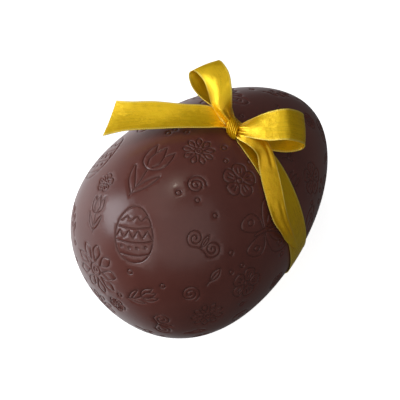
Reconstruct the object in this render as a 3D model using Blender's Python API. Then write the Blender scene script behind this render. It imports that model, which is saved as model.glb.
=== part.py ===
"""A large chocolate easter egg lying on its side, tied with one satin ribbon whose bow sits on top.

The egg is a shut shell, so it is one solid of revolution. Its axis runs along Y, with the small end
at +Y, and it lies as such an egg comes to rest, the small end a little low. The origin is the middle
of the small flat that it rests on. The ribbon is one strip: a band round the egg, a knot, two loops
and two cut tails, all in one solid. Metres, +Z up.
"""

import math

import bmesh
import bpy
import numpy as np
from mathutils import Matrix, Vector

MM = 0.001

# The egg
EGG_DIAMETER = 112 * MM
EGG_LENGTH = 159 * MM
EGG_TAPER = (0.210, 0.087, 0.060)  # how the girth leans towards the big end
EGG_TILT = math.radians(7)  # the small end is this much low
REST_CUT = 0.45 * MM  # how deep the resting flat is cut
EGG_ROUND = 64  # facets round the girth
EGG_ALONG = 36  # rings from end to end

# The ribbon
RIBBON_WIDTH = 16 * MM
RIBBON_THICKNESS = 0.45 * MM
RIBBON_GAP = 0.30 * MM  # between the band and the egg
BAND_ALONG = 24.7 * MM  # the band's middle, from the egg's mid length
BAND_RISE = -7.7 * MM  # how much nearer the small end it is on top
BAND_SWING = -18.1 * MM  # how much nearer the small end it is at +X
BAND_STEPS = 72
BAND_ACROSS = 3
KNOT_PULL = -4.0 * MM  # the knot draws the band this far along
KNOT_PINCH = 0.72  # and to this share of its width
KNOT_REACH = math.radians(22)  # how far round the egg that pull is felt

# The knot
KNOT_ALONG = 8.4 * MM
KNOT_TURN = math.radians(-0.6)
KNOT_LIFT = 4.1 * MM  # its middle over the egg's surface
KNOT_LENGTH = 7.4 * MM
KNOT_HALF_WIDTH = 3.4 * MM
KNOT_HALF_HEIGHT = 3.7 * MM
KNOT_HEADING = math.radians(-48)  # of its long axis, in the bow's frame
BOW_HEADING = math.radians(42)  # of the bow's frame round Z
BOW_RAISE = 0.4 * MM  # the strips' frame over the knot's middle
STRIP_SMOOTH = 4  # steps between two points of a strip
STRIP_ACROSS = 3

# The strips of the bow, in the bow's frame (x right, y back, z up, millimetres from the knot). Each
# row is the middle of the strip, the way across it, and the share of its width it takes up there.
LEFT_TAIL = [
    (-2.2, 1.8, 0.0, 0.30, 0.90, -0.15, 0.36),
    (-7.5, 4.0, 0.9, 0.08, 0.98, -0.18, 0.72),
    (-14.0, 5.0, 1.2, 0.00, 0.98, -0.20, 0.92),
    (-26.0, 5.7, 1.0, 0.00, 0.98, -0.18, 0.97),
    (-40.0, 6.8, -0.8, 0.05, 0.99, 0.00, 0.98),
    (-52.0, 8.0, -3.8, 0.15, 0.97, 0.16, 1.00),
    (-60.5, 9.1, -7.0, 0.33, 0.92, 0.22, 1.07),
]
UPPER_LOOP = [
    (-1.4, 1.8, 0.8, 0.75, 0.55, -0.20, 0.36),
    (-3.4, 8.6, 6.0, 0.80, 0.50, -0.28, 0.60),
    (-6.4, 16.6, 11.2, 0.80, 0.48, -0.32, 0.80),
    (-10.4, 25.0, 13.4, 0.80, 0.46, -0.34, 0.95),
    (-13.8, 29.0, 9.8, 0.80, 0.46, -0.34, 0.98),
    (-14.6, 27.0, 4.0, 0.80, 0.46, -0.34, 0.98),
    (-10.8, 18.0, 0.5, 0.80, 0.48, -0.32, 0.88),
    (-6.4, 9.6, -0.2, 0.78, 0.52, -0.28, 0.64),
    (-2.0, 2.2, -0.6, 0.75, 0.55, -0.20, 0.36),
]
RIGHT_LOOP = [
    (2.0, -1.6, 0.8, 0.45, 0.88, 0.00, 0.36),
    (8.5, -2.6, 4.0, 0.15, 0.98, 0.00, 0.70),
    (17.0, -3.4, 6.0, 0.05, 1.00, 0.00, 0.95),
    (26.5, -2.6, 6.0, 0.00, 1.00, 0.00, 1.00),
    (34.0, -2.6, 2.2, 0.00, 1.00, 0.00, 1.00),
    (33.0, -3.2, -2.8, 0.00, 1.00, 0.00, 1.00),
    (25.0, -3.6, -4.4, 0.00, 1.00, 0.00, 1.00),
    (14.0, -3.4, -3.0, 0.10, 1.00, 0.00, 0.85),
    (2.6, -2.0, -0.8, 0.45, 0.88, 0.00, 0.36),
]
RIGHT_TAIL = [
    (1.8, -2.4, -0.8, 0.60, 0.75, -0.10, 0.34),
    (7.0, -5.0, 0.2, 0.42, 0.82, -0.40, 0.62),
    (11.1, -8.9, 0.3, 0.46, 0.58, -0.68, 0.81),
    (14.4, -13.1, -2.1, 0.52, 0.46, -0.72, 0.84),
    (16.1, -18.2, -4.9, 0.64, 0.40, -0.66, 0.84),
    (17.6, -24.9, -7.5, 0.68, 0.38, -0.63, 0.84),
    (19.1, -31.2, -10.1, 0.65, 0.41, -0.64, 0.84),
    (20.8, -37.2, -13.4, 0.60, 0.45, -0.66, 0.84),
    (23.0, -42.4, -18.0, 0.53, 0.46, -0.71, 0.84),
    (26.2, -45.8, -24.5, 0.46, 0.38, -0.80, 0.86),
    (30.7, -47.4, -37.0, 0.42, 0.13, -0.90, 0.90),
]

CHOCOLATE = (0.060, 0.024, 0.017, 1.0)
SATIN = (0.66, 0.43, 0.02, 1.0)


def clear_scene():
    for old in list(bpy.data.objects):
        bpy.data.objects.remove(old)


def make_material(name, colour, roughness, sheen):
    material = bpy.data.materials.new(name)
    material.use_nodes = True
    shader = material.node_tree.nodes["Principled BSDF"]
    shader.inputs["Base Color"].default_value = colour
    shader.inputs["Roughness"].default_value = roughness
    shader.inputs["Metallic"].default_value = 0.0
    shader.inputs["Sheen Weight"].default_value = sheen
    return material


def egg_outline(places):
    """Distance along the axis, from the big end at -Y, and radius there, for angles 0 to pi."""
    lean, oval, blunt = EGG_TAPER

    def girth(angle):
        along = -np.cos(angle)
        return np.sin(angle) * (1 - lean * along + oval * along**2 - blunt * along**3)

    widest = girth(np.linspace(0, math.pi, 2001)).max()
    return -np.cos(places) * EGG_LENGTH / 2, girth(places) / widest * EGG_DIAMETER / 2


OUTLINE_ALONG, OUTLINE_RADIUS = egg_outline(np.linspace(0, math.pi, 2001))


def egg_radius(along):
    return float(np.interp(along, OUTLINE_ALONG, OUTLINE_RADIUS))


def on_egg(along, turn, lift):
    """A point over the egg's surface in the egg's frame. turn goes from the top towards +X."""
    radius = egg_radius(along) + lift
    return Vector((radius * math.sin(turn), along, radius * math.cos(turn)))


def egg_placing():
    """The egg's frame in the part's frame: it lies on its lowest point, cut to a small flat."""
    tilt = Matrix.Rotation(-EGG_TILT, 4, "X")
    heights = -OUTLINE_ALONG * math.sin(EGG_TILT) - OUTLINE_RADIUS * math.cos(EGG_TILT)
    lowest = int(heights.argmin())
    under = tilt @ on_egg(float(OUTLINE_ALONG[lowest]), math.pi, 0.0)
    return Matrix.Translation(Vector((0, 0, -REST_CUT)) - under) @ tilt


def add_object(name, bm, material, matrix):
    mesh = bpy.data.meshes.new(name)
    bmesh.ops.recalc_face_normals(bm, faces=bm.faces[:])
    bm.to_mesh(mesh)
    bm.free()
    mesh.materials.append(material)
    mesh.shade_smooth()
    mesh.set_sharp_from_angle(angle=math.radians(40))
    made = bpy.data.objects.new(name, mesh)
    made.matrix_world = matrix
    bpy.context.scene.collection.objects.link(made)
    return made


def bridge_rings(bm, rings):
    """Quads between rings that close on themselves."""
    for ring, after in zip(rings, rings[1:]):
        count = len(ring)
        for i in range(count):
            j = (i + 1) % count
            bm.faces.new((ring[i], ring[j], after[j], after[i]))


def close_with_fan(bm, ring, point):
    middle = bm.verts.new(point)
    for i, corner in enumerate(ring):
        bm.faces.new((corner, ring[(i + 1) % len(ring)], middle))


def make_egg(material, placing):
    bm = bmesh.new()
    places = np.linspace(0, math.pi, EGG_ALONG + 1)[1:-1]
    rings = []
    for along, radius in zip(*egg_outline(places)):
        turns = [2 * math.pi * i / EGG_ROUND for i in range(EGG_ROUND)]
        points = [(radius * math.sin(turn), along, radius * math.cos(turn)) for turn in turns]
        rings.append([bm.verts.new(point) for point in points])
    bridge_rings(bm, rings)
    close_with_fan(bm, rings[0], (0, -EGG_LENGTH / 2, 0))
    close_with_fan(bm, rings[-1], (0, EGG_LENGTH / 2, 0))
    bm.transform(placing)
    everything = bm.verts[:] + bm.edges[:] + bm.faces[:]
    cut = bmesh.ops.bisect_plane(
        bm, geom=everything, plane_co=(0, 0, 0), plane_no=(0, 0, -1), clear_outer=True
    )
    rim = [piece for piece in cut["geom_cut"] if isinstance(piece, bmesh.types.BMEdge)]
    bmesh.ops.contextual_create(bm, geom=rim)
    return add_object("egg", bm, material, Matrix.Identity(4))


def band_middle(turn):
    """The band's middle along the axis and its half width at a turn, with the knot's pull."""
    along = BAND_ALONG + BAND_RISE * math.cos(turn) + BAND_SWING * math.sin(turn)
    away = (turn - KNOT_TURN + math.pi) % (2 * math.pi) - math.pi
    pull = math.exp(-((away / KNOT_REACH) ** 2))
    share = 1 + (KNOT_PINCH - 1) * pull
    return along + KNOT_PULL * pull, share * RIBBON_WIDTH / 2


def make_band(material, placing):
    bm = bmesh.new()
    rings = []
    for i in range(BAND_STEPS):
        turn = 2 * math.pi * i / BAND_STEPS
        middle, half = band_middle(turn)
        across = [middle + half * (2 * j / BAND_ACROSS - 1) for j in range(BAND_ACROSS + 1)]
        inner = [on_egg(along, turn, RIBBON_GAP) for along in across]
        outer = [on_egg(along, turn, RIBBON_GAP + RIBBON_THICKNESS) for along in across]
        rings.append([bm.verts.new(point) for point in inner + outer[::-1]])
    bridge_rings(bm, rings + rings[:1])
    return add_object("ribbon", bm, material, placing)


def smooth_rows(rows, steps):
    """A Catmull-Rom curve through the rows, steps points from each row to the next."""
    rows = np.array(rows, float)
    padded = np.vstack([2 * rows[0] - rows[1], rows, 2 * rows[-1] - rows[-2]])
    points = []
    for before, start, end, after in zip(padded, padded[1:], padded[2:], padded[3:]):
        for k in range(steps):
            t = k / steps
            bend = 2 * before - 5 * start + 4 * end - after
            twist = 3 * start - before - 3 * end + after
            points.append(start + 0.5 * ((end - before) * t + bend * t**2 + twist * t**3))
    return np.array(points + [rows[-1]])


def strip_grid(rows, arch):
    """Middle surface of a strip and its normals, as arrays of rows by places across it."""
    smooth = smooth_rows(rows, STRIP_SMOOTH)
    middle = smooth[:, :3] * MM
    across = smooth[:, 3:6] / np.linalg.norm(smooth[:, 3:6], axis=1, keepdims=True)
    along = np.gradient(middle, axis=0)
    face = np.cross(along, across)
    face /= np.linalg.norm(face, axis=1, keepdims=True)
    half = smooth[:, 6] * RIBBON_WIDTH / 2
    places = np.linspace(-1, 1, STRIP_ACROSS + 1)
    sideways = (across * half[:, None])[:, None] * places[None, :, None]
    crown = arch * (1 - places**2) - arch / 2
    outwards = face[:, None] * crown[None, :, None]
    surface = middle[:, None] + sideways + outwards
    normals = np.cross(np.gradient(surface, axis=0), np.gradient(surface, axis=1))
    return surface, normals / np.linalg.norm(normals, axis=2, keepdims=True)


def make_strip(name, rows, arch, material, matrix):
    surface, normals = strip_grid(rows, arch)
    sides = [surface + normals * RIBBON_THICKNESS / 2, surface - normals * RIBBON_THICKNESS / 2]
    bm = bmesh.new()
    rings = []
    for above, below in zip(*sides):
        outline = [Vector(point) for point in above] + [Vector(point) for point in below[::-1]]
        rings.append([bm.verts.new(point) for point in outline])
    bridge_rings(bm, rings)
    for ring in (rings[0], rings[-1]):
        for i in range(STRIP_ACROSS):
            bm.faces.new((ring[i], ring[i + 1], ring[-2 - i], ring[-1 - i]))
    return add_object(name, bm, material, matrix)


def make_knot(material, matrix):
    """A short barrel, its long axis along local X."""
    bm = bmesh.new()
    rings = []
    for place in (-1.0, -0.72, -0.3, 0.3, 0.72, 1.0):
        swell = math.sqrt(1 - 0.55 * place**2)
        turns = [2 * math.pi * i / 18 for i in range(18)]
        ring = [
            (
                place * KNOT_LENGTH / 2,
                KNOT_HALF_WIDTH * swell * math.cos(turn),
                KNOT_HALF_HEIGHT * swell * math.sin(turn),
            )
            for turn in turns
        ]
        rings.append([bm.verts.new(point) for point in ring])
    bridge_rings(bm, rings)
    for ring in (rings[0], rings[-1]):
        bm.faces.new(ring)
    return add_object("knot", bm, material, matrix)


def join_all(base, others):
    """One union of base with the others, applied, after which the others go."""
    group = bpy.data.collections.new("bow")
    bpy.context.scene.collection.children.link(group)
    for other in others:
        bpy.context.scene.collection.objects.unlink(other)
        group.objects.link(other)
    union = base.modifiers.new("union", "BOOLEAN")
    union.operation = "UNION"
    union.operand_type = "COLLECTION"
    union.collection = group
    union.solver = "EXACT"
    graph = bpy.context.evaluated_depsgraph_get()
    joined = bpy.data.meshes.new_from_object(base.evaluated_get(graph))
    base.modifiers.clear()
    base.data = joined
    for other in others:
        bpy.data.objects.remove(other)
    bpy.data.collections.remove(group)


def main():
    clear_scene()
    chocolate = make_material("chocolate", CHOCOLATE, 0.34, 0.0)
    satin = make_material("satin", SATIN, 0.38, 0.3)
    placing = egg_placing()
    make_egg(chocolate, placing)

    band = make_band(satin, placing)
    knot_at = placing @ on_egg(KNOT_ALONG, KNOT_TURN, KNOT_LIFT)
    bow_turn = Matrix.Rotation(BOW_HEADING, 4, "Z")
    knot = Matrix.Translation(knot_at) @ bow_turn @ Matrix.Rotation(KNOT_HEADING, 4, "Z")
    bow = Matrix.Translation(knot_at + Vector((0, 0, BOW_RAISE))) @ bow_turn
    join_all(
        band,
        [
            make_knot(satin, knot),
            make_strip("left_tail", LEFT_TAIL, 0.6 * MM, satin, bow),
            make_strip("upper_loop", UPPER_LOOP, 0.0, satin, bow),
            make_strip("right_loop", RIGHT_LOOP, 0.0, satin, bow),
            make_strip("right_tail", RIGHT_TAIL, 1.0 * MM, satin, bow),
        ],
    )


main()
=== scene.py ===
"""The looks of a large chocolate easter egg that lies on its side, tied with a golden satin ribbon.

The egg is one piece of dark chocolate with fine engraved ornament all round it. The ribbon is one
strip: a band round the egg, a gathered knot, two loops and two cut tails. Metres, +Z up.
"""

import math
import random

import bpy
import numpy as np
from mathutils import Matrix, Vector, kdtree
from mathutils.geometry import delaunay_2d_cdt


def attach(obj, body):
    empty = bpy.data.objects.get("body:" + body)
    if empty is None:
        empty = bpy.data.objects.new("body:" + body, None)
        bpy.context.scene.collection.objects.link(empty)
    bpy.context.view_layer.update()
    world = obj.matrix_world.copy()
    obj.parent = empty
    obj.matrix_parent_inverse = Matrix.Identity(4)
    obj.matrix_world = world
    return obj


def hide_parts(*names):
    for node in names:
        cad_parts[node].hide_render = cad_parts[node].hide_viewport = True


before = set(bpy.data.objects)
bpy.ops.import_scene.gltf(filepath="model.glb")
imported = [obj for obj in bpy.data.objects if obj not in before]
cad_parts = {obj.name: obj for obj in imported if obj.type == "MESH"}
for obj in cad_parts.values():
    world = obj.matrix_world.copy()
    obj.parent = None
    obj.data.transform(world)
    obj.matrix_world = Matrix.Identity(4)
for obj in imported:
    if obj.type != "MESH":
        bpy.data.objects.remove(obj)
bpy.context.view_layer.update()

MM = 0.001

# The egg, as in the solids
EGG_DIAMETER = 112 * MM
EGG_LENGTH = 159 * MM
EGG_TAPER = (0.210, 0.087, 0.060)  # how the girth leans towards the big end
EGG_TILT = math.radians(7)  # the small end is this much low
REST_CUT = 0.45 * MM  # how deep the resting flat is cut

# The engraving
GROOVE_HALF = 0.58 * MM
GROOVE_DEPTH = 0.38 * MM
GROOVE_STEP = 0.72 * MM  # between two points along a groove
GROOVE_ROWS = 3  # rows of points from a groove's middle to its edge
MIDDLE_STEP = 0.12 * MM  # between the points that distances from a groove are measured to
ROW_SLACK = 0.05 * MM  # how much nearer than its own row a groove's point may lie
PLAIN_CLEAR = 0.25 * MM  # plain points stay this far from a groove's edge
CLOSEST = 0.15 * MM  # points nearer than this are one
PLAIN_POINTS = 14000  # spread over the smooth chocolate between the motifs
LAYOUT_SEED = 8

# The ribbon, as in the solids
RIBBON_WIDTH = 16 * MM
RIBBON_THICKNESS = 0.34 * MM
RIBBON_GAP = 0.30 * MM  # between the band and the egg
BAND_ALONG = 24.7 * MM  # the band's middle, from the egg's mid length
BAND_RISE = -7.7 * MM  # how much nearer the small end it is on top
BAND_SWING = -18.1 * MM  # how much nearer the small end it is at +X
KNOT_PULL = -4.0 * MM  # the knot draws the band this far along
KNOT_PINCH = 0.72  # and to this share of its width
KNOT_REACH = math.radians(22)  # how far round the egg that pull is felt
BACK_PINCH = 0.26  # the same behind the knot, towards -X
BACK_REACH = math.radians(30)
BACK_SLANT = [(-2.0 * MM, -20, 12), (3.4 * MM, -62, 26)]  # shift, at degrees, within degrees
KNOT_ALONG = 8.4 * MM
KNOT_TURN = math.radians(-0.6)
KNOT_LIFT = 4.1 * MM  # its middle over the egg's surface
KNOT_LENGTH = 6.6 * MM
KNOT_HALF_WIDTH = 3.8 * MM
KNOT_HALF_HEIGHT = 4.4 * MM
KNOT_SLANT = -0.62  # how much its ends lean back across it
KNOT_FOLDS = 6
KNOT_HEADING = math.radians(-48)  # of its long axis, in the bow's frame
BOW_HEADING = math.radians(42)  # of the bow's frame round Z
BOW_RAISE = 0.4 * MM  # the strips' frame over the knot's middle

# The strips of the bow, in the bow's frame (x right, y back, z up, millimetres from the knot). Each
# row is the middle of the strip, the way across it, and the share of its width it takes up there.
LEFT_TAIL = [
    (-2.0, 1.6, 0.0, 0.35, 0.90, -0.15, 0.34),
    (-6.6, 3.6, 1.2, 0.16, 0.97, -0.20, 0.66),
    (-13.0, 5.0, 1.6, 0.02, 0.99, -0.12, 0.85),
    (-25.0, 5.4, 1.8, 0.00, 0.99, 0.00, 0.85),
    (-39.4, 6.5, 0.6, 0.05, 0.99, 0.06, 0.95),
    (-51.9, 7.3, -1.8, 0.15, 0.97, 0.14, 1.00),
    (-60.4, 7.8, -4.6, 0.33, 0.92, 0.20, 1.20),
]
UPPER_LOOP = [
    (-1.2, 1.6, 0.6, 0.75, 0.55, -0.20, 0.34),
    (-3.7, 5.2, 3.2, 0.99, 0.15, 0.05, 0.41),
    (-5.9, 9.8, 6.4, 0.93, -0.09, 0.35, 0.65),
    (-6.8, 16.4, 9.0, 0.87, -0.11, 0.48, 0.82),
    (-8.3, 23.2, 10.4, 0.93, 0.08, 0.35, 0.84),
    (-12.4, 29.3, 9.8, 0.93, 0.32, 0.16, 0.87),
    (-15.1, 29.4, 6.2, 0.92, 0.40, 0.02, 0.87),
    (-13.7, 23.5, 2.8, 0.91, 0.39, -0.11, 0.86),
    (-9.8, 16.9, 0.9, 0.93, 0.34, -0.15, 0.74),
    (-5.3, 10.7, 0.4, 0.87, 0.45, -0.21, 0.56),
    (-1.6, 2.0, -0.6, 0.75, 0.55, -0.20, 0.34),
]
RIGHT_LOOP = [
    (2.0, -1.4, 0.8, 0.45, 0.88, 0.00, 0.34),
    (8.5, -2.9, 5.0, 0.20, 0.95, 0.25, 0.61),
    (16.8, -4.6, 9.4, 0.05, 0.94, 0.33, 0.88),
    (26.0, -4.9, 11.6, 0.00, 0.96, 0.26, 0.96),
    (34.0, -3.0, 4.0, 0.00, 0.99, 0.10, 0.99),
    (33.2, -2.8, -2.8, 0.00, 1.00, 0.00, 1.00),
    (25.0, -3.4, -4.4, 0.00, 1.00, 0.00, 1.00),
    (14.0, -3.2, -3.0, 0.10, 1.00, 0.00, 0.85),
    (2.6, -1.8, -0.8, 0.45, 0.88, 0.00, 0.34),
]
RIGHT_TAIL = [
    (1.6, -1.9, 0.2, 0.69, 0.68, 0.26, 0.33),
    (5.5, -4.2, 2.6, 0.55, 0.76, 0.35, 0.54),
    (10.2, -7.2, 2.4, 0.66, 0.75, 0.07, 0.58),
    (13.6, -10.6, 0.2, 0.82, 0.56, -0.15, 0.55),
    (15.6, -13.6, -2.4, 0.94, 0.29, -0.17, 0.51),
    (16.8, -18.2, -4.9, 0.97, 0.18, -0.15, 0.55),
    (18.3, -24.9, -7.5, 0.97, 0.18, -0.15, 0.58),
    (19.8, -31.2, -10.1, 0.96, 0.23, -0.17, 0.57),
    (21.5, -37.2, -13.4, 0.92, 0.31, -0.25, 0.55),
    (23.7, -42.4, -18.0, 0.84, 0.37, -0.40, 0.54),
    (26.9, -45.8, -24.5, 0.72, 0.29, -0.63, 0.55),
    (30.7, -47.4, -37.0, 0.42, 0.13, -0.90, 0.90),
]

# The camera, from the photograph's view of the egg
CAMERA_PLACE = (0.15913, -0.17637, 0.55754)
CAMERA_DOWN = math.radians(64.106)
CAMERA_HEADING = math.radians(41.971)
CAMERA_LENS = 95.19  # mm, on a 36 mm sensor


# The egg's form


def make_outline():
    """The egg's half outline from the big end at -Y to the small end at +Y, as polar angle, distance
    from the middle, and the two parts of the outward normal."""
    lean, oval, blunt = EGG_TAPER
    angle = np.linspace(0, math.pi, 4001)
    place = -np.cos(angle)
    girth = np.sin(angle) * (1 - lean * place + oval * place**2 - blunt * place**3)
    along = place * EGG_LENGTH / 2
    radius = girth / girth.max() * EGG_DIAMETER / 2
    outward, lengthwise = np.gradient(along), -np.gradient(radius)
    size = np.hypot(outward, lengthwise)
    order = slice(None, None, -1)
    return {
        "along": along,
        "radius": radius,
        "polar": np.arctan2(radius, along)[order],
        "reach": np.hypot(radius, along)[order],
        "outward": (outward / size)[order],
        "lengthwise": (lengthwise / size)[order],
    }


OUTLINE = make_outline()


def on_egg(along, turn, lift):
    """Points over the egg's surface in the egg's frame. turn goes from the top towards +X."""
    radius = np.interp(along, OUTLINE["along"], OUTLINE["radius"]) + lift
    return np.stack([radius * np.sin(turn), along + 0 * turn, radius * np.cos(turn)], axis=-1)


def polar_of(points):
    return np.arctan2(np.hypot(points[:, 0], points[:, 2]), points[:, 1])


def drop_to_egg(points):
    """Each point moved along its line from the egg's middle until it lies on the surface."""
    ways = points / np.linalg.norm(points, axis=1, keepdims=True)
    return ways * np.interp(polar_of(ways), OUTLINE["polar"], OUTLINE["reach"])[:, None]


def egg_normals(points):
    polar = polar_of(points)
    outward = np.interp(polar, OUTLINE["polar"], OUTLINE["outward"])
    lengthwise = np.interp(polar, OUTLINE["polar"], OUTLINE["lengthwise"])
    sideways = np.hypot(points[:, 0], points[:, 2]) + 1e-12
    round_part = points[:, [0, 2]] / sideways[:, None] * outward[:, None]
    return np.stack([round_part[:, 0], lengthwise, round_part[:, 1]], axis=1)


def egg_placing():
    """The egg's frame in the part's frame, and its lowest point in its own frame."""
    tilt = Matrix.Rotation(-EGG_TILT, 4, "X")
    along, radius = OUTLINE["along"], OUTLINE["radius"]
    heights = -along * math.sin(EGG_TILT) - radius * math.cos(EGG_TILT)
    lowest = int(heights.argmin())
    under = Vector((0.0, float(along[lowest]), -float(radius[lowest])))
    return Matrix.Translation(Vector((0, 0, -REST_CUT)) - tilt @ under) @ tilt, under


def place_points(points, matrix):
    turned = np.array(matrix.to_3x3())
    return np.asarray(points) @ turned.T + np.array(matrix.translation)


# The strokes of the ornament, in a flat frame of unit size with up as +Y


def curve_through(points, steps):
    """A smooth line through points, steps pieces from each to the next."""
    points = np.array(points, float)
    padded = np.vstack([2 * points[0] - points[1], points, 2 * points[-1] - points[-2]])
    t = (np.arange(steps) / steps)[:, None]
    made = []
    for before, start, end, after in zip(padded, padded[1:], padded[2:], padded[3:]):
        bend = 2 * before - 5 * start + 4 * end - after
        twist = 3 * start - before - 3 * end + after
        made.append(start + 0.5 * ((end - before) * t + bend * t**2 + twist * t**3))
    return np.vstack(made + [points[-1:]])


def ellipse(centre, across, high, steps=28):
    turns = np.linspace(0, 2 * math.pi, steps + 1)
    x, y = across * np.cos(turns), high * np.sin(turns)
    return np.stack([centre[0] + x, centre[1] + y], axis=1)


def mirrored(half, middle):
    """The points of half, then middle, then those of half again on the other side."""
    return half + [middle] + [(-x, y) for x, y in reversed(half)]


def petal(base, tip, half_width, fullness=1.0):
    """A closed outline from base round tip and back, widest past its middle by fullness."""
    base, tip = np.array(base, float), np.array(tip, float)
    way = tip - base
    side = np.array([-way[1], way[0]]) / np.hypot(*way) * half_width
    t = np.linspace(0, 1, 13)
    swell = np.sin(math.pi * t**fullness)
    there = base + way * t[:, None] + side * swell[:, None]
    back = base + way * t[::-1, None] - side * swell[::-1, None]
    return np.vstack([there, back[1:]])


def leaf(base, tip, half_width):
    """A leaf with its middle vein."""
    base, tip = np.array(base, float), np.array(tip, float)
    return [petal(base, tip, half_width), np.array([base, base + (tip - base) * 0.68])]


def turned(strokes, angle):
    cos, sin = math.cos(angle), math.sin(angle)
    return [stroke @ np.array([[cos, sin], [-sin, cos]]) for stroke in strokes]


def daisy():
    strokes = [ellipse((0, 0), 0.24, 0.24), ellipse((0, 0), 0.09, 0.09, steps=12)]
    for i in range(9):
        strokes += turned([petal((0, 0.33), (0, 0.98), 0.17, 1.35)], 2 * math.pi * i / 9)
    return strokes


def blossom():
    """Five round petals, each with two short veins, round a ring."""
    strokes = [ellipse((0, 0), 0.17, 0.17)]
    round_petal = mirrored([(0.13, 0.24), (0.38, 0.52), (0.34, 0.86)], (0, 0.98))
    for i in range(5):
        veins = [np.array([(s * 0.08, 0.42), (s * 0.12, 0.68)]) for s in (-1, 1)]
        strokes += turned([curve_through(round_petal, 4)] + veins, 2 * math.pi * i / 5)
    return strokes


def tulip():
    """A cup of petals on a bent stem with two blades."""
    cup = mirrored([(-0.36, 0.92), (-0.44, 0.55), (-0.34, 0.20)], (0, 0.04))
    crown = mirrored([(-0.36, 0.92), (-0.17, 0.62)], (0, 0.98))
    stem = curve_through([(0, 0.04), (0.05, -0.40), (0, -1.0)], 8)
    inner = [[(s * 0.17, 0.62), (s * 0.20, 0.36), (s * 0.10, 0.16)] for s in (-1, 1)]
    blades = [
        [(0, -0.92), (s * 0.36, -0.50), (s * 0.50, 0.02), (s * 0.22, -0.32), (0.03, -0.70)]
        for s in (-1, 1)
    ]
    strokes = [curve_through(cup, 5), np.array(crown), stem]
    strokes += [curve_through(points, 5) for points in inner]
    return strokes + [curve_through(points, 6) for points in blades]


def painted_egg():
    """An egg with a zigzag between two bands, a wave and a row of spots."""
    t = np.linspace(0, 2 * math.pi, 49)
    outline = np.stack([0.70 * np.sin(t) * (1 - 0.13 * np.cos(t)), 0.98 * np.cos(t)], axis=1)

    def half_width(y):
        return 0.70 * math.sqrt(max(0.0, 1 - (y / 0.98) ** 2)) * (1 - 0.13 * y / 0.98)

    def band(y, rise=0.0, waves=0):
        half = half_width(y)
        x = np.linspace(-half, half, 29)
        if waves:
            return np.stack([x, y + rise * np.sin(x / half * math.pi * waves)], axis=1)
        return np.stack([x, y - 0.07 * np.cos(x / half * math.pi / 2)], axis=1)

    zigs = 8
    half = half_width(0.05) * 0.97
    zigzag = [(half * (2 * i / zigs - 1), 0.16 if i % 2 else -0.10) for i in range(zigs + 1)]
    middles = [(0.15 * i, -0.42 - 0.03 * math.cos(i)) for i in (-3, -1, 1, 3)]
    spots = [ellipse(middle, 0.045, 0.045, steps=8) for middle in middles]
    bands = [band(0.30), band(-0.18), np.array(zigzag), band(0.56, 0.07, 3), band(-0.64)]
    return [outline] + bands + spots


def butterfly():
    """Two pairs of wings with a spot in each, a body and two feelers."""
    upper = [(0.05, 0.12), (0.30, 0.58), (0.78, 0.88), (0.97, 0.66)]
    upper += [(0.84, 0.24), (0.44, 0.05), (0.06, 0.02)]
    lower = [(0.06, -0.04), (0.42, -0.08), (0.68, -0.34), (0.56, -0.74)]
    lower += [(0.32, -0.80), (0.13, -0.48), (0.05, -0.16)]
    feeler = [(0.02, 0.30), (0.10, 0.62), (0.26, 0.80), (0.34, 0.72), (0.28, 0.66)]
    strokes = [ellipse((0, -0.06), 0.06, 0.36)]
    for side in (-1, 1):
        mirror = np.array([side, 1.0])
        strokes += [
            curve_through(upper, 5) * mirror,
            curve_through(lower, 5) * mirror,
            curve_through(feeler, 4) * mirror,
            ellipse((0.66, 0.56), 0.11, 0.09) * mirror,
            ellipse((0.42, -0.42), 0.09, 0.11) * mirror,
            curve_through([(0.22, 0.18), (0.42, 0.32), (0.50, 0.44)], 4) * mirror,
        ]
    return strokes


def sprig():
    """A bent stem with leaves to both sides and one at its tip."""
    stem = curve_through([(-0.12, -1.0), (0.06, -0.45), (0.02, 0.15), (-0.10, 0.55)], 10)
    strokes = [stem]
    for i, share in enumerate((0.22, 0.36, 0.52, 0.66, 0.82)):
        base = stem[int(share * (len(stem) - 1))]
        side = -1 if i % 2 else 1
        tip = base + np.array([side * (0.50 - 0.04 * i), 0.34])
        strokes += leaf(base, tip, 0.12)
    return strokes + leaf((-0.10, 0.55), (-0.20, 0.98), 0.11)


def scroll():
    """Two curls that run out of one bent line."""
    t = np.linspace(0, 1, 34)
    reach, turn = 0.46 * (1 - 0.86 * t), -0.5 * math.pi + t * 3.6 * math.pi
    curl_line = np.stack([0.52 + reach * np.cos(turn), -0.02 + reach * np.sin(turn)], axis=1)
    bridge = curve_through([(0.52, -0.48), (0.0, -0.30), (-0.52, -0.48)], 9)
    return [curl_line, curl_line * np.array([-1.0, 1.0]), bridge] + leaf((0, -0.28), (0, 0.50), 0.13)


def curl():
    t = np.linspace(0, 1, 46)
    reach, turn = 0.98 * (1 - 0.88 * t), 0.6 + t * 4.4 * math.pi
    return [np.stack([reach * np.cos(turn), reach * np.sin(turn)], axis=1)]


def single_leaf():
    stalk = curve_through([(0, -0.55), (-0.06, -0.8), (0.0, -1.0)], 4)
    return leaf((0, -0.55), (0.08, 0.98), 0.36) + [stalk]


def bud():
    """A small tulip head on a short stem."""
    cup = mirrored([(-0.40, 0.80), (-0.44, 0.20)], (0, -0.10)) + [(0.0, 0.36), (-0.40, 0.80)]
    return [curve_through(cup, 4), np.array([(0, -0.10), (0, -1.0)])]


def ring():
    return [ellipse((0, 0), 1.0, 1.0, steps=16)]


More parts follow.
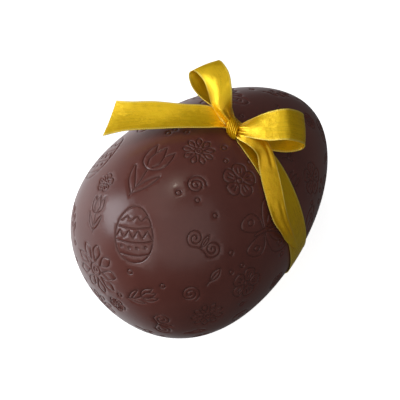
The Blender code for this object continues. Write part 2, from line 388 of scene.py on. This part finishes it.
# Each size of motif: its radius on the egg, how many are tried for, and the kinds that take turns
MOTIF_SIZES = [
    (15.5 * MM, 15, (butterfly, painted_egg, tulip, daisy)),
    (9.4 * MM, 38, (sprig, blossom, scroll, tulip, daisy)),
    (5.2 * MM, 86, (curl, single_leaf, blossom, bud)),
    (1.3 * MM, 80, (ring,)),
]
MOTIF_GAP = 1.3 * MM
MOST_TRIES = 900
REST_CLEAR = 12 * MM  # no motif reaches this near the resting flat


def random_way(rng):
    height = rng.uniform(-1, 1)
    turn = rng.uniform(0, 2 * math.pi)
    flat = math.sqrt(1 - height**2)
    return np.array([[flat * math.cos(turn), height, flat * math.sin(turn)]])


def place_motifs(under):
    """Each motif's kind, middle on the egg, radius and turn, largest first, none over another."""
    rng = random.Random(LAYOUT_SEED)
    placed = []
    rest = np.array(under)
    for radius, wanted, kinds in MOTIF_SIZES:
        made = 0
        for _ in range(MOST_TRIES):
            middle = drop_to_egg(random_way(rng))[0]
            turn = rng.uniform(-0.6, 0.6)
            size = radius * rng.uniform(0.88, 1.04)
            if np.linalg.norm(middle - rest) < size + REST_CLEAR:
                continue
            if any(np.linalg.norm(middle - m) < size + s + MOTIF_GAP for _, m, s, _ in placed):
                continue
            placed.append((kinds[made % len(kinds)], middle, size, turn))
            made += 1
            if made == wanted:
                break
    return placed


def even_steps(stroke, step):
    """The stroke's points spread at even distances of about step."""
    lengths = np.linalg.norm(np.diff(stroke, axis=0), axis=1)
    run = np.concatenate([[0], np.cumsum(lengths)])
    count = max(2, int(round(run[-1] / step)) + 1)
    places = np.linspace(0, run[-1], count)
    return np.stack([np.interp(places, run, stroke[:, k]) for k in range(stroke.shape[1])], axis=1)


def grooves_on_egg(under):
    """Every stroke of every motif as a line of points on the egg."""
    grooves = []
    for kind, middle, size, turn in place_motifs(under):
        normal = egg_normals(middle[None])[0]
        up = np.array([0.0, 1.0, 0.0]) - normal * normal[1]
        up /= np.linalg.norm(up)
        right = np.cross(up, normal)
        for stroke in turned(kind(), turn):
            flat = middle + (stroke[:, :1] * right + stroke[:, 1:] * up) * size
            grooves.append(even_steps(drop_to_egg(flat), GROOVE_STEP))
    return grooves


# The egg's mesh


def near_points(points):
    tree = kdtree.KDTree(len(points))
    for i, point in enumerate(points):
        tree.insert(point, i)
    tree.balance()
    return tree


def groove_points(grooves):
    """Points in rows along every groove, its middle first, then out to its edges and round its ends."""
    rows = [np.vstack(grooves)]
    for row in range(1, GROOVE_ROWS + 1):
        away = GROOVE_HALF * row / GROOVE_ROWS
        points = []
        for line in grooves:
            ways = np.gradient(line, axis=0)
            ways /= np.linalg.norm(ways, axis=1, keepdims=True) + 1e-12
            sides = np.cross(egg_normals(line), ways)
            points += [line + sides * away, line - sides * away]
            for end, out in ((0, -1.0), (-1, 1.0)):
                for fan in (-0.94, -0.31, 0.31, 0.94):
                    way = ways[end] * out * math.cos(fan) + sides[end] * math.sin(fan)
                    points.append((line[end] + way * away)[None])
        rows.append(drop_to_egg(np.vstack(points)))
    return rows


def plain_points():
    """An even spread over the whole egg, as the seeds of a sunflower lie."""
    place = np.arange(PLAIN_POINTS)
    height = 1 - 2 * (place + 0.5) / PLAIN_POINTS
    turn = place * math.pi * (3 - math.sqrt(5))
    flat = np.sqrt(1 - height**2)
    return drop_to_egg(np.stack([flat * np.cos(turn), height, flat * np.sin(turn)], axis=1))


def keep_apart(rows, centre_tree):
    """The rows' points in order, less those in a nearer groove or too close to one kept before."""
    kept, distances = [], []
    cells = {}
    for row, points in enumerate(rows):
        if row <= GROOVE_ROWS:
            least = GROOVE_HALF * row / GROOVE_ROWS - ROW_SLACK
        else:
            least = GROOVE_HALF + PLAIN_CLEAR
        for point in points:
            away = centre_tree.find(point)[2] if row else 0.0
            if away < least:
                continue
            cell = tuple(int(value // CLOSEST) for value in point)
            around = [
                (cell[0] + i, cell[1] + j, cell[2] + k)
                for i in (-1, 0, 1)
                for j in (-1, 0, 1)
                for k in (-1, 0, 1)
            ]
            near = [kept[n] for key in around for n in cells.get(key, ())]
            if any(np.sum((other - point) ** 2) < CLOSEST**2 for other in near):
                continue
            cells.setdefault(cell, []).append(len(kept))
            kept.append(point)
            distances.append(away)
    return np.array(kept), np.array(distances)


def seen_from_below(points, under):
    """The points as a flat map of the egg with the resting point far outside it."""
    pole = np.array(under) / np.linalg.norm(under)
    first = np.cross(pole, [1.0, 0.0, 0.0])
    first /= np.linalg.norm(first)
    second = np.cross(pole, first)
    ways = points / np.linalg.norm(points, axis=1, keepdims=True)
    stretch = 1 / np.maximum(1 - ways @ pole, 1e-6)
    return np.stack([ways @ first * stretch, ways @ second * stretch], axis=1)


def border_of(triangles):
    """The rim of a sheet of triangles, as one closed chain of corners."""
    edges = np.vstack([triangles[:, [0, 1]], triangles[:, [1, 2]], triangles[:, [2, 0]]])
    known = {tuple(edge) for edge in edges.tolist()}
    after = {a: b for a, b in known if (b, a) not in known}
    start = next(iter(after))
    chain = [start]
    while after[chain[-1]] != start:
        chain.append(after[chain[-1]])
    return chain


def make_egg():
    """The egg's skin with its grooves pressed in, closed by a fan over the resting point."""
    placing, under = egg_placing()
    grooves = grooves_on_egg(under)
    rows = groove_points(grooves)
    centre_tree = near_points(np.vstack([even_steps(line, MIDDLE_STEP) for line in grooves]))
    points, distances = keep_apart(rows + [plain_points()], centre_tree)
    flat = seen_from_below(points, under)
    map_points = [Vector(point) for point in flat.tolist()]
    _, _, faces, origins, _, _ = delaunay_2d_cdt(map_points, [], [], 0, 1e-9)
    first = np.array([sources[0] for sources in origins])
    triangles = first[np.array(faces)]
    rim = border_of(triangles)
    depth = np.where(distances < GROOVE_HALF, 0.5 + 0.5 * np.cos(math.pi * distances / GROOVE_HALF), 0)
    carved = points - egg_normals(points) * (depth * GROOVE_DEPTH)[:, None]
    places = np.vstack([place_points(carved, placing), place_points([list(under)], placing)])
    places[:, 2] = np.maximum(places[:, 2], 0)
    under_fan = [(b, a, len(points)) for a, b in zip(rim, rim[1:] + rim[:1])]
    mesh = bpy.data.meshes.new("chocolate_egg")
    mesh.from_pydata(places.tolist(), [], triangles.tolist() + under_fan)
    outside = mesh.polygons[0]
    if outside.normal.dot(outside.center - Vector(places.mean(axis=0))) < 0:
        mesh.flip_normals()
    mesh.shade_smooth()
    # how deep each point lies in a groove; the finish paints shade there and makes it rougher
    engraved = mesh.attributes.new("engraved", "FLOAT", "POINT")
    engraved.data.foreach_set("value", np.append(depth, 0).astype(np.float32))
    return finished_piece("chocolate_egg", mesh, chocolate(), "egg")


# The ribbon's mesh

STRIP_STEPS = 9
STRIP_ACROSS = 36
GATHER_FOLDS = 2.3  # full waves across the ribbon where it is bunched
GATHER_FROM = 0.56  # the share of its width under which it bunches
GATHER_DEPTH = 0.66
FOLD_SHADE_FROM = 0.78  # the share of its width under which the ribbon gets painted fold shade
FOLD_SHADE_OVER = 0.4  # and how much less gives it the full painted fold shade
SELVEDGE_FROM = 0.955  # the woven edge, as a share of the way out from its middle
SELVEDGE_EXTRA = 0.5  # how much thicker than the rest it is
BAND_STEPS = 260
BAND_GIRTH = 0.94  # of the band against the egg's widest girth
KNOT_STEPS = 84
KNOT_ACROSS = 72

# The bow's strips: rows, how far the middle stands off the edges in mm at the ends and half way
# along, where the strip starts along the ribbon, and seed
STRIPS = [
    (LEFT_TAIL, (0.6, 0.6), 0.40, 2),
    (UPPER_LOOP, (-4.5, -0.3), 0.50, 3),
    (RIGHT_LOOP, (1.2, 0.3), 0.60, 4),
    (RIGHT_TAIL, (0.6, 0.3), 0.70, 5),
]


def smooth_noise(x, y, seed):
    """A gentle wandering value for two places, from a few seeded waves."""
    rng = random.Random(seed)
    total = 0
    for _ in range(5):
        a, b, phase = rng.uniform(-1, 1), rng.uniform(-1, 1), rng.uniform(0, 6.28)
        total = total + np.sin(2.2 * (a * x + b * y) + phase)
    return total / 5


class Cloth:
    """The ribbon's faces as they are made: a shell of even thickness for each stretch of it."""

    def __init__(self):
        self.points = []
        self.faces = []
        self.lengthwise = []
        self.crosswise = []
        # how much painted shade each point gets, down in the knot's creases and where the ribbon is
        # drawn in to folds
        self.fold_shade = []

    def add_shell(self, surface, lengthwise, crosswise, fold_shade, closed=False):
        """surface is rows of points across the ribbon. closed joins the last row to the first."""
        rows, across = surface.shape[:2]
        if closed:
            around = np.concatenate([surface[-1:], surface, surface[:1]])
            down = np.gradient(around, axis=0)[1:-1]
        else:
            down = np.gradient(surface, axis=0)
        normals = np.cross(down, np.gradient(surface, axis=1))
        normals /= np.linalg.norm(normals, axis=2, keepdims=True) + 1e-12
        edge = np.abs(np.linspace(-1, 1, across))
        half = RIBBON_THICKNESS / 2 * (1 + SELVEDGE_EXTRA * (edge > SELVEDGE_FROM))
        start = len(self.points)
        for side in (1, -1):
            self.points += (surface + normals * side * half[None, :, None]).reshape(-1, 3).tolist()
            self.lengthwise += np.broadcast_to(lengthwise[:, None], (rows, across)).ravel().tolist()
            self.crosswise += np.broadcast_to(crosswise[None, :], (rows, across)).ravel().tolist()
            self.fold_shade += np.broadcast_to(fold_shade, (rows, across)).ravel().tolist()
        top = start + np.arange(rows * across).reshape(rows, across)
        below = top + rows * across
        last = rows if closed else rows - 1
        for i in range(last):
            j = (i + 1) % rows
            for k in range(across - 1):
                self.faces.append((top[i, k], top[j, k], top[j, k + 1], top[i, k + 1]))
                self.faces.append((below[i, k], below[i, k + 1], below[j, k + 1], below[j, k]))
            self.faces.append((top[i, 0], below[i, 0], below[j, 0], top[j, 0]))
            self.faces.append((top[i, -1], top[j, -1], below[j, -1], below[i, -1]))
        if not closed:
            for k in range(across - 1):
                self.faces.append((top[0, k], top[0, k + 1], below[0, k + 1], below[0, k]))
                self.faces.append((top[-1, k], below[-1, k], below[-1, k + 1], top[-1, k + 1]))


def across_places():
    """Places across the ribbon from -1 to 1, closer together at the woven edges."""
    inner = np.linspace(-0.93, 0.93, STRIP_ACROSS - 3)
    return np.concatenate([[-1, -0.965], inner, [0.965, 1]])


def fold_shade_at(share):
    """How much painted fold shade the ribbon gets where it is drawn in to that share of its width, from
    0 to 1.
    """
    return np.clip((FOLD_SHADE_FROM - share) / FOLD_SHADE_OVER, 0, 1)


def bunched(share, places, run, seed):
    """How far the ribbon stands up in folds where it is drawn in to a share of its width."""
    half = share * RIBBON_WIDTH / 2
    spare = np.maximum((GATHER_FROM / share) ** 2 - 1, 0)
    depth = GATHER_DEPTH * half * np.sqrt(2 * spare) / (math.pi * GATHER_FOLDS)
    wander = 0.16 * smooth_noise(places * 2.2, places * 0.7 + seed, seed)
    wander = wander[None, :] + 0.05 * smooth_noise(run[:, None] / (7 * MM), places[None, :], seed + 1)
    wave = np.cos(math.pi * GATHER_FOLDS * (places[None, :] + wander) + 1.3 * seed)
    uneven = 1 + 0.35 * smooth_noise(places * 1.9 + seed, run[:, None] / (12 * MM), seed + 2)
    return depth[:, None] * uneven * np.sign(wave) * np.abs(wave) ** 0.85


def add_strip(cloth, rows, matrix, arch, start_length, seed):
    """One loop or tail, as rows of points across the ribbon, arched, crumpled and bunched."""
    smooth = curve_through(rows, STRIP_STEPS)
    middle = smooth[:, :3] * MM
    across = smooth[:, 3:6] / np.linalg.norm(smooth[:, 3:6], axis=1, keepdims=True)
    face = np.cross(np.gradient(middle, axis=0), across)
    face /= np.linalg.norm(face, axis=1, keepdims=True)
    half = smooth[:, 6] * RIBBON_WIDTH / 2
    places = across_places()
    run = np.concatenate([[0], np.cumsum(np.linalg.norm(np.diff(middle, axis=0), axis=1))])
    share = np.sin(math.pi * run / run[-1])[:, None] ** 2
    lift = (arch[0] + (arch[1] - arch[0]) * share) * (0.5 - places**2)[None, :] * MM
    lift = lift + 0.34 * MM * smooth_noise(run[:, None] / (8 * MM), places[None, :] * 1.3, seed)
    lift = lift + bunched(smooth[:, 6], places, run, seed)
    surface = middle[:, None] + (across * half[:, None])[:, None] * places[None, :, None]
    surface = surface + face[:, None] * lift[:, :, None]
    rows_count, across_count = surface.shape[:2]
    placed = place_points(surface.reshape(-1, 3), matrix).reshape(rows_count, across_count, 3)
    # painted fold shade where the strip is drawn in near the knot
    fold_shade = fold_shade_at(smooth[:, 6])[:, None]
    cloth.add_shell(placed, start_length + run, places * RIBBON_WIDTH / 2, fold_shade)


def band_middle(turn):
    """The band's middle along the axis and the share of its width at a turn, with the knot's pull."""
    along = BAND_ALONG + BAND_RISE * np.cos(turn) + BAND_SWING * np.sin(turn)
    away = (turn - KNOT_TURN + math.pi) % (2 * math.pi) - math.pi
    pull = np.exp(-((away / KNOT_REACH) ** 2))
    behind = 0.5 - 0.5 * np.tanh(away / math.radians(5))
    pinch = KNOT_PINCH + (BACK_PINCH - KNOT_PINCH) * behind
    felt = pull + (np.exp(-((away / BACK_REACH) ** 2)) - pull) * behind
    for shift, at, reach in BACK_SLANT:
        along = along + shift * np.exp(-(((away - math.radians(at)) / math.radians(reach)) ** 2))
    return along + KNOT_PULL * pull, 1 + (pinch - 1) * felt


def add_band(cloth, placing):
    turn = 2 * math.pi * np.arange(BAND_STEPS) / BAND_STEPS
    middle, share = band_middle(turn)
    places = across_places()
    run = turn * EGG_DIAMETER / 2 * BAND_GIRTH
    along = middle[:, None] + (share * RIBBON_WIDTH / 2)[:, None] * places[None, :]
    folds = bunched(share, places, run, 6)
    folds = folds - folds.min(axis=1, keepdims=True)
    wander = smooth_noise(np.cos(turn)[:, None] * 3, np.sin(turn)[:, None] * 3 + places[None, :], 5)
    lift = RIBBON_GAP + RIBBON_THICKNESS / 2 + folds + 0.10 * MM * (1 + wander)
    surface = on_egg(along, np.broadcast_to(turn[:, None], along.shape), lift)
    placed = place_points(surface.reshape(-1, 3), placing).reshape(BAND_STEPS, len(places), 3)
    # painted fold shade where the band is drawn in at the knot
    fold_shade = fold_shade_at(share)[:, None]
    cloth.add_shell(placed, run, places * RIBBON_WIDTH / 2, fold_shade, closed=True)


def add_knot(cloth, matrix):
    """The wrap of the knot: the ribbon bunched into slanting folds round a short barrel, with painted
    shade strongest down in its creases."""
    turn = (2 * math.pi * np.arange(KNOT_STEPS) / KNOT_STEPS)[:, None]
    place = np.linspace(-1, 1, KNOT_ACROSS)[None, :]
    around = smooth_noise(np.cos(turn) * 0.8, np.sin(turn) * 0.8 + 2.0 * place, 11)
    uneven = place + 0.10 * smooth_noise(place * 2.4, place, 12) + 0.05 * around
    crease = np.abs(np.sin(math.pi * KNOT_FOLDS / 2 * uneven)) ** 0.7
    size = np.sqrt(1 - 0.38 * place**2) * (0.74 + 0.32 * crease + 0.03 * around)
    sideways = KNOT_HALF_WIDTH * size * np.cos(turn)
    surface = np.stack(
        [
            place * KNOT_LENGTH / 2 + KNOT_SLANT * sideways,
            sideways,
            KNOT_HALF_HEIGHT * size * np.sin(turn),
        ],
        axis=-1,
    )
    placed = place_points(surface.reshape(-1, 3), matrix).reshape(KNOT_STEPS, KNOT_ACROSS, 3)
    run = turn[:, 0] * KNOT_HALF_WIDTH
    # painted shade, strongest down in the creases
    cloth.add_shell(placed, run, place[0] * 0.44 * RIBBON_WIDTH, 1.15 - crease, closed=True)


def make_ribbon():
    placing, _ = egg_placing()
    surface_point = on_egg(np.array(KNOT_ALONG), np.array(KNOT_TURN), KNOT_LIFT)
    knot_at = placing @ Vector(surface_point.tolist())
    bow_turn = Matrix.Rotation(BOW_HEADING, 4, "Z")
    knot = Matrix.Translation(knot_at) @ bow_turn @ Matrix.Rotation(KNOT_HEADING, 4, "Z")
    bow = Matrix.Translation(knot_at + Vector((0, 0, BOW_RAISE))) @ bow_turn
    cloth = Cloth()
    add_band(cloth, placing)
    add_knot(cloth, knot)
    for rows, arch, start_length, seed in STRIPS:
        add_strip(cloth, rows, bow, arch, start_length, seed)
    mesh = bpy.data.meshes.new("satin_ribbon")
    mesh.from_pydata(cloth.points, [], cloth.faces)
    mesh.shade_smooth()
    for name in ("lengthwise", "crosswise", "fold_shade"):
        layer = mesh.attributes.new(name, "FLOAT", "POINT")
        layer.data.foreach_set("value", np.array(getattr(cloth, name), np.float32))
    piece = finished_piece("satin_ribbon", mesh, satin(), "ribbon")
    return piece


def finished_piece(name, mesh, material, node):
    mesh.materials.append(material)
    piece = bpy.data.objects.new(name, mesh)
    bpy.context.scene.collection.objects.link(piece)
    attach(piece, "root")
    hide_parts(node)
    return piece


# The finishes


class Wire:
    """One output of a shader node. Sums and products of wires add the Math nodes they need."""

    def __init__(self, finish, socket):
        self.finish = finish
        self.socket = socket

    def maths(self, operation, *values):
        sockets = dict(enumerate(values))
        return self.finish.node("ShaderNodeMath", {"operation": operation}, sockets)

    def __add__(self, other):
        return self.maths("ADD", self, other)

    def __mul__(self, other):
        return self.maths("MULTIPLY", self, other)

    __radd__ = __add__

    def sine(self):
        return self.maths("SINE", self)

    def absolute(self):
        return self.maths("ABSOLUTE", self)

    def clamped(self, low, high, new_low=0.0, new_high=1.0):
        """low to high becomes new_low to new_high, and no further."""
        settings = {"interpolation_type": "SMOOTHSTEP"}
        sockets = dict(enumerate((self, low, high, new_low, new_high)))
        return self.finish.node("ShaderNodeMapRange", settings, sockets)


class Finish:
    """The shader nodes of one finish, or of the surround."""

    def __init__(self, name, kind="materials"):
        self.made = getattr(bpy.data, kind).new(name)
        self.made.use_nodes = True
        self.tree = self.made.node_tree
        self.tree.nodes.clear()

    def node(self, kind, settings, sockets, output=0):
        made = self.tree.nodes.new(kind)
        for name, value in settings.items():
            setattr(made, name, value)
        for name, value in sockets.items():
            socket = made.inputs[name]
            if isinstance(value, Wire):
                self.tree.links.new(value.socket, socket)
            else:
                socket.default_value = value
        return Wire(self, made.outputs[output]) if made.outputs else None

    def mix(self, share, first, second):
        """A colour between first and second."""
        settings = {"data_type": "RGBA"}
        return self.node("ShaderNodeMix", settings, {0: share, 6: first, 7: second}, 2)

    def place(self):
        """The point's place in its own object's coordinates."""
        return self.node("ShaderNodeTexCoord", {}, {}, 3)

    def noise(self, scale, detail=2.0, roughness=0.5, at=None):
        sockets = {"Scale": scale, "Detail": detail, "Roughness": roughness}
        sockets["Vector"] = at or self.place()
        return self.node("ShaderNodeTexNoise", {}, sockets)

    def named(self, name):
        return self.node("ShaderNodeAttribute", {"attribute_name": name}, {}, 2)

    def bump(self, height, distance):
        sockets = {"Strength": 1.0, "Distance": distance, "Height": height}
        return self.node("ShaderNodeBump", {}, sockets)

    def surface(self, sockets):
        shader = self.node("ShaderNodeBsdfPrincipled", {}, sockets)
        self.node("ShaderNodeOutputMaterial", {}, {"Surface": shader})
        return self.made


def chocolate():
    """Dark moulded chocolate: half glossy, a little cloudy, with fine flow marks and painted shade
    down in its grooves.
    """
    f = Finish("dark_chocolate")
    cloud = f.noise(38.0, 4.0, 0.6)
    fine = f.noise(900.0, 3.0, 0.6)
    pore = f.noise(2600.0, 2.0, 0.5)
    engraved = f.named("engraved")
    colour = f.mix(cloud.clamped(0.35, 0.7), (0.120, 0.033, 0.025, 1), (0.140, 0.042, 0.032, 1))
    # painted shade: darker down in the grooves
    colour = f.mix(engraved * 0.5, colour, (0.060, 0.016, 0.011, 1))
    roughness = 0.23 + cloud * 0.10 + fine * 0.05 + engraved * 0.06
    height = cloud * 1.6 + fine * 0.16 + pore * 0.05
    return f.surface(
        {
            "Base Color": colour,
            "Roughness": roughness,
            "Specular IOR Level": 0.5,
            "IOR": 1.48,
            "Coat Weight": 0.06,
            "Coat Roughness": 0.10,
            "Normal": f.bump(height, 0.00010),
        }
    )


# The satin's measures, in metres
THREAD_PITCH = 0.00034
WARP_PITCH = 0.00045
EDGE_LOOP_PITCH = 0.0009
EDGE_STARTS = 0.0070  # from the ribbon's middle
EDGE_FULL = 0.0074


def satin():
    """Golden satin: fine threads, faint streaks along it, a soft crumple, a pale woven edge, and
    painted shade in its folds.
    """
    f = Finish("golden_satin")
    lengthwise, crosswise = f.named("lengthwise"), f.named("crosswise")
    threads = (lengthwise * (2 * math.pi / THREAD_PITCH)).sine()
    warp = (crosswise * (2 * math.pi / WARP_PITCH)).sine()
    edge = crosswise.absolute().clamped(EDGE_STARTS, EDGE_FULL)
    cloud = f.noise(120.0, 3.0, 0.55)
    grain = f.node("ShaderNodeCombineXYZ", {}, {0: lengthwise * 70, 1: crosswise * 2400, 2: 0.0})
    streak = f.noise(1.0, 3.0, 0.6, grain)
    crumple = f.noise(260.0, 2.0, 0.5)
    colour = f.mix(cloud.clamped(0.3, 0.7), (0.84, 0.49, 0.001, 1), (0.90, 0.55, 0.002, 1))
    colour = f.mix(streak.clamped(0.35, 0.75) * 0.3, colour, (0.94, 0.64, 0.008, 1))
    # painted shade: a deeper orange down in the knot's creases and where the ribbon is drawn in to
    # folds
    colour = f.mix(f.named("fold_shade") * 0.6, colour, (0.86, 0.36, 0.001, 1))
    loops = (lengthwise * (2 * math.pi / EDGE_LOOP_PITCH)).sine()
    colour = f.mix(edge * (0.45 + loops * 0.25), colour, (0.95, 0.80, 0.22, 1))
    roughness = 0.25 + threads * 0.03 + cloud * 0.05 + streak * 0.06 + edge * 0.15
    height = threads * 0.5 + warp * 0.25 + streak * 1.0 + edge * 1.0 + crumple * 12.0
    return f.surface(
        {
            "Base Color": colour,
            "Roughness": roughness,
            "Metallic": 0.48,
            "IOR": 1.75,
            "Subsurface Weight": 0.3,
            "Subsurface Radius": (1.0, 0.7, 0.2),
            "Subsurface Scale": 0.0004,
            "Specular IOR Level": 1.0,
            "Specular Tint": (0.97, 1.0, 0.28, 1),
            "Sheen Weight": 0.03,
            "Sheen Roughness": 0.4,
            "Sheen Tint": (0.95, 1.0, 0.15, 1),
            "Normal": f.bump(height, 0.00002),
        }
    )


def pale_floor():
    f = Finish("pale_floor")
    grain = f.noise(60.0, 3.0)
    colour = f.mix(grain, (0.90, 0.90, 0.90, 1), (0.93, 0.93, 0.93, 1))
    return f.surface(
        {
            "Base Color": colour,
            "Roughness": 0.8,
            "Specular IOR Level": 0.2,
            "Emission Color": (1, 1, 1, 1),
            "Emission Strength": 0.80,
            "Normal": f.bump(grain, 0.0001),
        }
    )


# The studio

SWEEP_FLAT = 2.2  # the floor is level out to here
SWEEP_BEND = 0.8  # and then bends up into a wall
SWEEP_HIGH = 3.0
SWEEP_SIDES = 64
SWEEP_BEND_STEPS = 8
FLOOR_DROP = 0.2 * MM  # under the part's lowest point
LIT_MIDDLE = Vector((0, 0.01, 0.05))


def make_floor():
    """A round floor whose rim bends up into a wall. It glows to look white in the picture, but the
    part isn't lit by it and doesn't mirror it."""
    profile = [(SWEEP_FLAT, 0.0)]
    for step in range(1, SWEEP_BEND_STEPS + 1):
        bend = math.pi / 2 * step / SWEEP_BEND_STEPS
        profile.append((SWEEP_FLAT + SWEEP_BEND * math.sin(bend), SWEEP_BEND * (1 - math.cos(bend))))
    profile.append((SWEEP_FLAT + SWEEP_BEND, SWEEP_HIGH))
    sides = SWEEP_SIDES
    points = []
    for reach, height in profile:
        for side in range(sides):
            turn = 2 * math.pi * side / sides
            points.append((reach * math.cos(turn), reach * math.sin(turn), height - FLOOR_DROP))
    faces = [tuple(range(sides))]
    for ring_start in range(0, sides * (len(profile) - 1), sides):
        for side in range(sides):
            after = (side + 1) % sides
            row = (side, after, after + sides, side + sides)
            faces.append(tuple(ring_start + corner for corner in row))
    mesh = bpy.data.meshes.new("studio_floor")
    mesh.from_pydata(points, [], faces)
    mesh.materials.append(pale_floor())
    floor = bpy.data.objects.new("studio_floor", mesh)
    floor.visible_diffuse = False
    floor.visible_glossy = False
    floor.visible_shadow = False
    bpy.context.scene.collection.objects.link(floor)


def camera_ways():
    """The camera's right, up and forward in the part's frame."""
    heading, down = CAMERA_HEADING, CAMERA_DOWN
    right = Vector((math.cos(heading), math.sin(heading), 0))
    level = Vector((-math.sin(heading), math.cos(heading), 0))
    forward = level * math.cos(down) - Vector((0, 0, 1)) * math.sin(down)
    return right, right.cross(forward), forward


def make_camera():
    right, up, forward = camera_ways()
    data = bpy.data.cameras.new("photo_camera")
    data.lens = CAMERA_LENS
    data.sensor_width = 36.0
    data.clip_start = 0.02
    data.clip_end = 20.0
    camera = bpy.data.objects.new("photo_camera", data)
    turn = Matrix((right, up, -forward)).transposed()
    camera.matrix_world = Matrix.Translation(Vector(CAMERA_PLACE)) @ turn.to_4x4()
    bpy.context.scene.collection.objects.link(camera)
    bpy.context.scene.camera = camera


def add_softbox(name, place, side, power, colour):
    """A square light that faces the egg."""
    data = bpy.data.lights.new(name, "AREA")
    data.shape = "SQUARE"
    data.size = side
    data.energy = power
    data.color = colour
    light = bpy.data.objects.new(name, data)
    light.location = place
    aim = LIT_MIDDLE - place
    light.rotation_euler = aim.to_track_quat("-Z", "Y").to_euler()
    bpy.context.scene.collection.objects.link(light)


# The lights: name, way out along the picture's right, level and up, distance, side, watts, colour
SOFTBOXES = [
    ("window", (-0.89, 0.04, 0.44), 1.0, 0.56, 5.2, (0.90, 0.94, 1.0)),
    ("left_softbox", (-0.61, -0.61, 0.51), 1.1, 0.6, 1.5, (1.0, 0.99, 0.97)),
    ("low_left_softbox", (-0.98, 0.20, 0.02), 1.2, 1.2, 1.5, (0.94, 0.96, 1.0)),
    ("top_softbox", (-0.30, 0.15, 0.94), 1.1, 0.6, 0.9, (1.0, 0.97, 0.93)),
    ("camera_softbox", (0.14, -0.50, 0.85), 1.2, 1.4, 3.7, (1.0, 1.0, 1.0)),
    ("small_lamp", (-0.07, 0.34, 0.94), 1.2, 0.03, 0.6, (1.0, 0.93, 0.80)),
]


def make_lights():
    make_surround()
    right = Vector((math.cos(CAMERA_HEADING), math.sin(CAMERA_HEADING), 0))
    level = Vector((-math.sin(CAMERA_HEADING), math.cos(CAMERA_HEADING), 0))
    for name, (along_right, along_level, up), distance, side, power, colour in SOFTBOXES:
        way = right * along_right + level * along_level + Vector((0, 0, up))
        add_softbox(name, LIT_MIDDLE + way.normalized() * distance, side, power, colour)


def make_surround():
    """Soft light from all round: pale to the left and below, dim to the right."""
    f = Finish("surround", "worlds")
    pale_way = Vector((-0.75, -0.15, -0.55)).normalized()
    way = f.node("ShaderNodeTexCoord", {}, {}, 0)
    share = f.node("ShaderNodeVectorMath", {"operation": "DOT_PRODUCT"}, {0: way, 1: pale_way}, 1)
    colour = f.mix(share.clamped(0.4, 0.95), (0.10, 0.10, 0.10, 1), (1.00, 1.00, 1.03, 1))
    light = f.node("ShaderNodeBackground", {}, {"Color": colour, "Strength": 1.0})
    f.node("ShaderNodeOutputWorld", {}, {"Surface": light})
    bpy.context.scene.world = f.made


def main():
    make_camera()
    make_floor()
    make_lights()
    make_egg()
    make_ribbon()
    bpy.context.scene.view_settings.view_transform = "Standard"


main()
